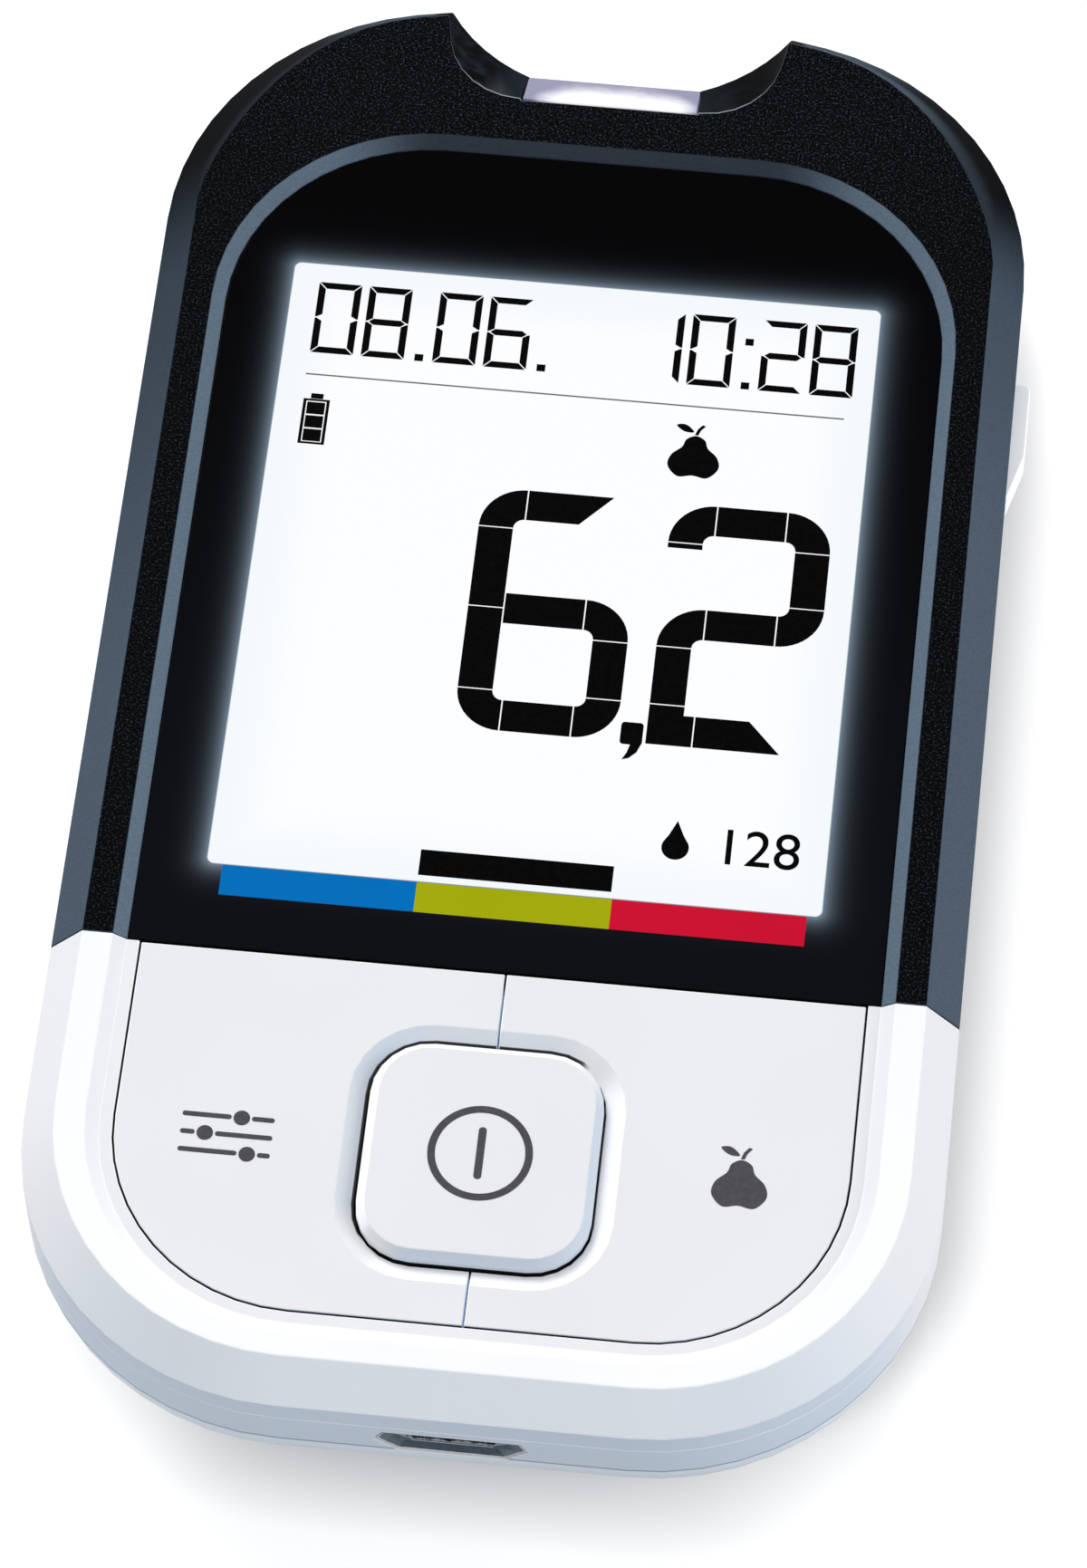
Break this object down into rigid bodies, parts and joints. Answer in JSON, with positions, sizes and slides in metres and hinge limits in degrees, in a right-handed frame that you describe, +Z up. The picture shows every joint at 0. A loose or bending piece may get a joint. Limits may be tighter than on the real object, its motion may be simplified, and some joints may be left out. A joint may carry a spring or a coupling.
{
  "type": "blood glucose meter",
  "caption": "Handheld blood glucose meter with a large display, sprung keys, a lit test strip port with a side ejector and a sliding battery door.",
  "frame": {"origin": "middle of the underside, where the back rests on a table", "axes": "+X to the right when the display is read, +Y along the length towards the test strip port, +Z up out of the display"},
  "size_m": [0.057, 0.102, 0.021],
  "materials": {
    "dark_housing": "satin anthracite moulding",
    "light_housing": "fine matt light grey moulding",
    "key_plastic": "satin light grey moulding",
    "lens_plastic": "polished black-backed acrylic",
    "mask_ink": "printed black ink",
    "tape": "black double-sided tape",
    "display_glass": "lit liquid crystal panel",
    "light_guide_plastic": "clear acrylic",
    "frame_plastic": "white moulding",
    "connector_rubber": "layered silicone",
    "led_resin": "moulded resin",
    "spring_steel": "bright spring steel",
    "plated_steel": "tin-plated steel",
    "gold_plate": "gold plated",
    "board_laminate": "green solder mask",
    "chip_resin": "moulded epoxy",
    "crystal_can": "drawn metal can",
    "ceramic": "ceramic with tinned ends",
    "connector_plastic": "black nylon",
    "port_plastic": "milky translucent moulding, lit from inside",
    "cell_jacket": "printed metal jacket",
    "screw_steel": "zinc-plated steel"
  },
  "bodies": {
    "housing": {"upper_front_cover": "dark_housing", "lower_front_cover": "light_housing", "rear_cover": "light_housing", "display_lens": "lens_plastic", "lens_mask": "mask_ink", "lens_tape": "tape", "lcd_glass": "display_glass", "light_guide": "light_guide_plastic", "display_frame": "frame_plastic", "key_frame": "frame_plastic", "zebra_strip": "connector_rubber", "backlight_leds": "led_resin", "strip_led": "led_resin", "set_dome": "spring_steel", "meal_dome": "spring_steel", "power_dome": "spring_steel", "ejector_spring": "spring_steel", "battery_springs": "spring_steel", "usb_shell": "plated_steel", "bridge_contact": "plated_steel", "positive_contact": "plated_steel", "negative_contact": "plated_steel", "usb_contacts": "gold_plate", "strip_contacts": "gold_plate", "circuit_board": "board_laminate", "main_chip": "chip_resin", "measuring_chip": "chip_resin", "clock_crystal": "crystal_can", "capacitors": "ceramic", "buzzer": "connector_plastic", "usb_tongue": "connector_plastic", "strip_connector": "connector_plastic", "strip_insert": "port_plastic", "battery_cell_left": "cell_jacket", "battery_cell_right": "cell_jacket", "housing_screws": "screw_steel"},
    "set_key": {"set_key": "key_plastic"},
    "meal_key": {"meal_key": "key_plastic"},
    "power_key": {"power_key": "key_plastic"},
    "ejector": {"ejector_slider": "light_housing"},
    "door": {"battery_door": "light_housing"}
  },
  "joints": [
    {"name": "set_key_press", "type": "slide", "parent": "housing", "child": "set_key", "axis": [0, 0, -1], "range_m": [0, 0.0005], "stiffness_N_per_m": 1500, "deforming": ["set_dome"]},
    {"name": "meal_key_press", "type": "slide", "parent": "housing", "child": "meal_key", "axis": [0, 0, -1], "range_m": [0, 0.0005], "stiffness_N_per_m": 1500, "deforming": ["meal_dome"]},
    {"name": "power_key_press", "type": "slide", "parent": "housing", "child": "power_key", "axis": [0, 0, -1], "range_m": [0, 0.0005], "stiffness_N_per_m": 1500, "deforming": ["power_dome"]},
    {"name": "ejector_slide", "type": "slide", "parent": "housing", "child": "ejector", "axis": [0, 1, 0], "range_m": [0, 0.005], "stiffness_N_per_m": 150, "deforming": ["ejector_spring"]},
    {"name": "door_slide", "type": "slide", "parent": "housing", "child": "door", "axis": [0, -1, 0], "range_m": [0, 0.008]}
  ]
}
